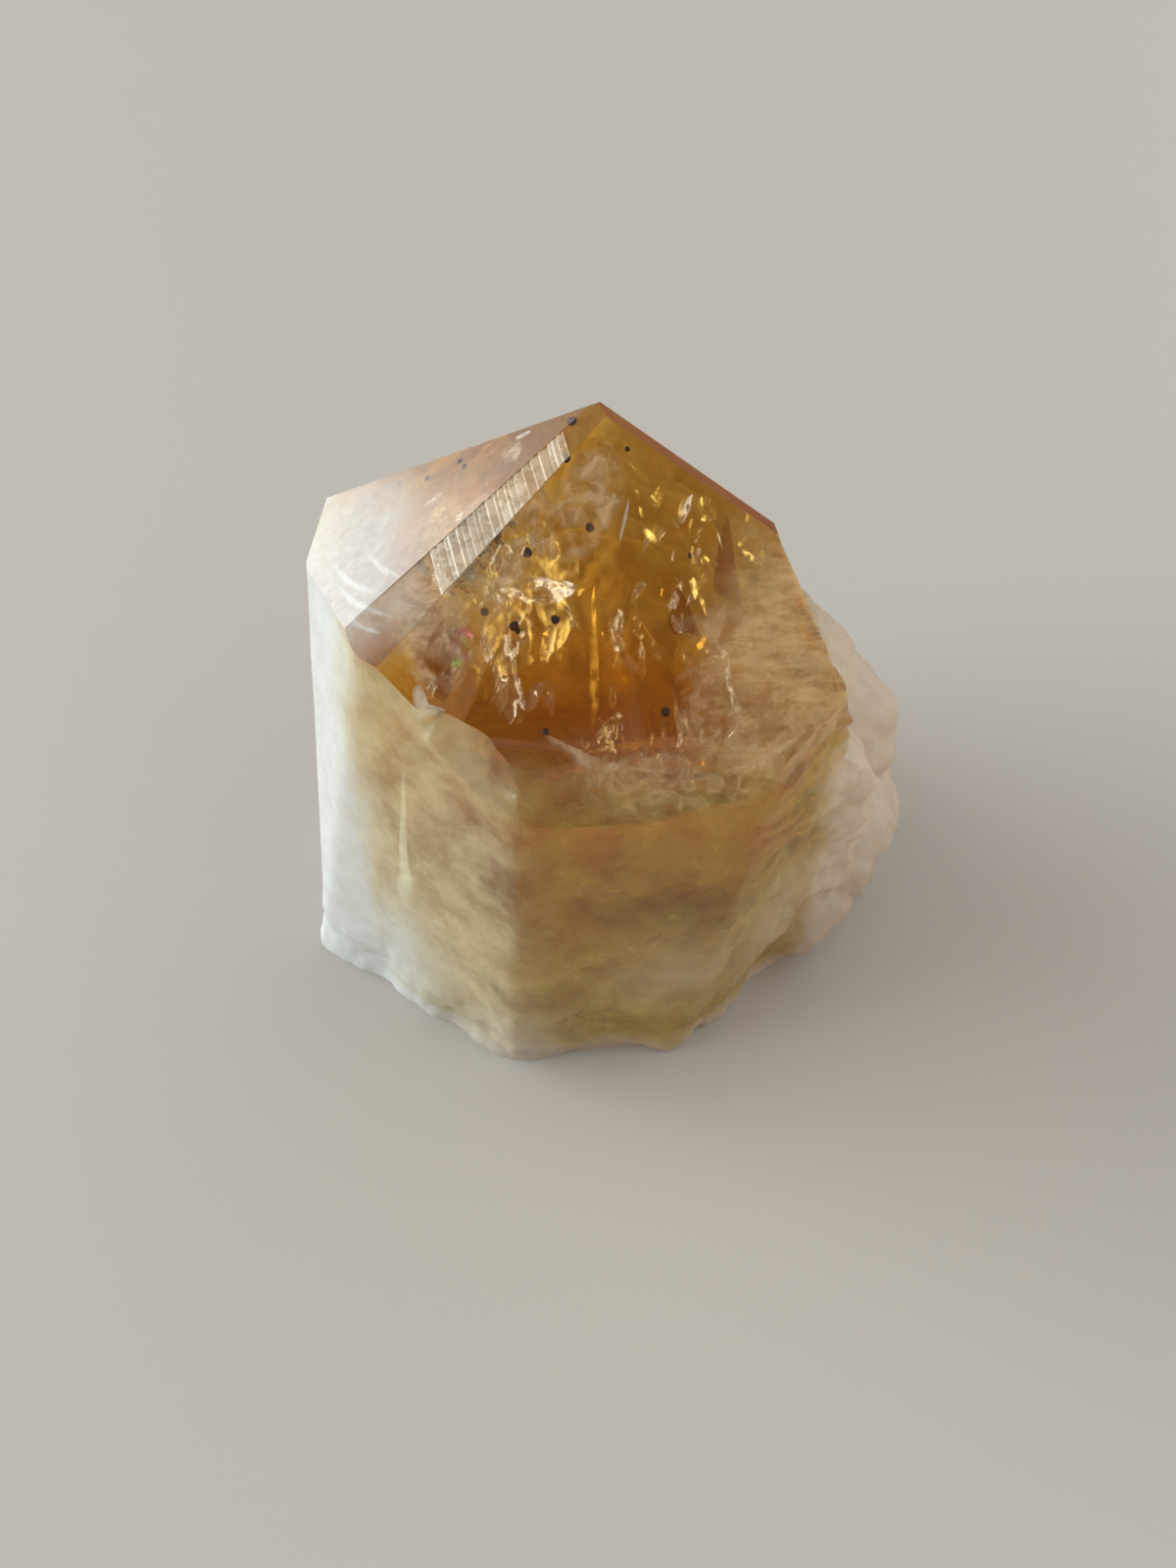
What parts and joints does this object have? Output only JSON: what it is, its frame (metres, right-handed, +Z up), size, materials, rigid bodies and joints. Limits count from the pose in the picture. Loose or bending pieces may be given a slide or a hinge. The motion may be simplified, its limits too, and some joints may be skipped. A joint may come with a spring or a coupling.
{
  "type": "citrine crystal point",
  "caption": "Natural citrine crystal with flat tip faces, grown on lumpy milky quartz and cut off flat underneath so that it stands point up.",
  "frame": {"origin": "on the flat cut underneath, inside the crystal's outline and below its tip", "axes": "+Z up from the flat cut to the tip, -Y towards the broad amber tip face, +X towards the lumps of white quartz"},
  "size_m": [0.062, 0.0516, 0.0609],
  "materials": {
    "citrine": "clear amber crystal, glassy on its tip faces, silky on its sides and milky white round its foot"
  },
  "bodies": {
    "root": {"citrine_point": "citrine"}
  },
  "joints": []
}
